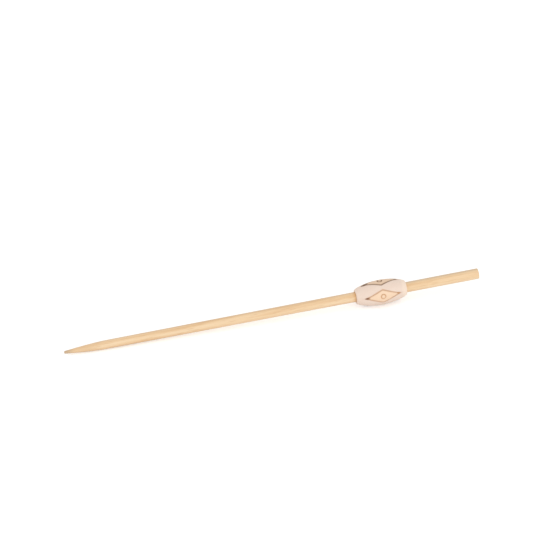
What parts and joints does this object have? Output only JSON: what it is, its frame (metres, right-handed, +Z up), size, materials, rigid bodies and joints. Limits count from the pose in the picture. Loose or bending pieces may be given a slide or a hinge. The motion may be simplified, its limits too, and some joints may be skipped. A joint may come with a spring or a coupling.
{
  "type": "bamboo cocktail skewer with a carved bead",
  "caption": "Pointed round bamboo skewer with an oval bead near its handle end, carved all round with rhombi that each hold a small ring.",
  "frame": {"origin": "under the middle of the skewer's length, on the surface that it lies on", "axes": "+X along the skewer from its point to its handle end, rising 1.6 degrees where the bead lifts it; +Z up"},
  "size_m": [0.12, 0.007, 0.007],
  "materials": {
    "bamboo": "smooth sanded bamboo, uncoated, with fine fibres along the stick",
    "bone_bead": "bone-coloured, softly polished, with brown stain rubbed into the carved grooves"
  },
  "bodies": {
    "root": {"bamboo_stick": "bamboo", "carved_bead": "bone_bead"}
  },
  "joints": []
}
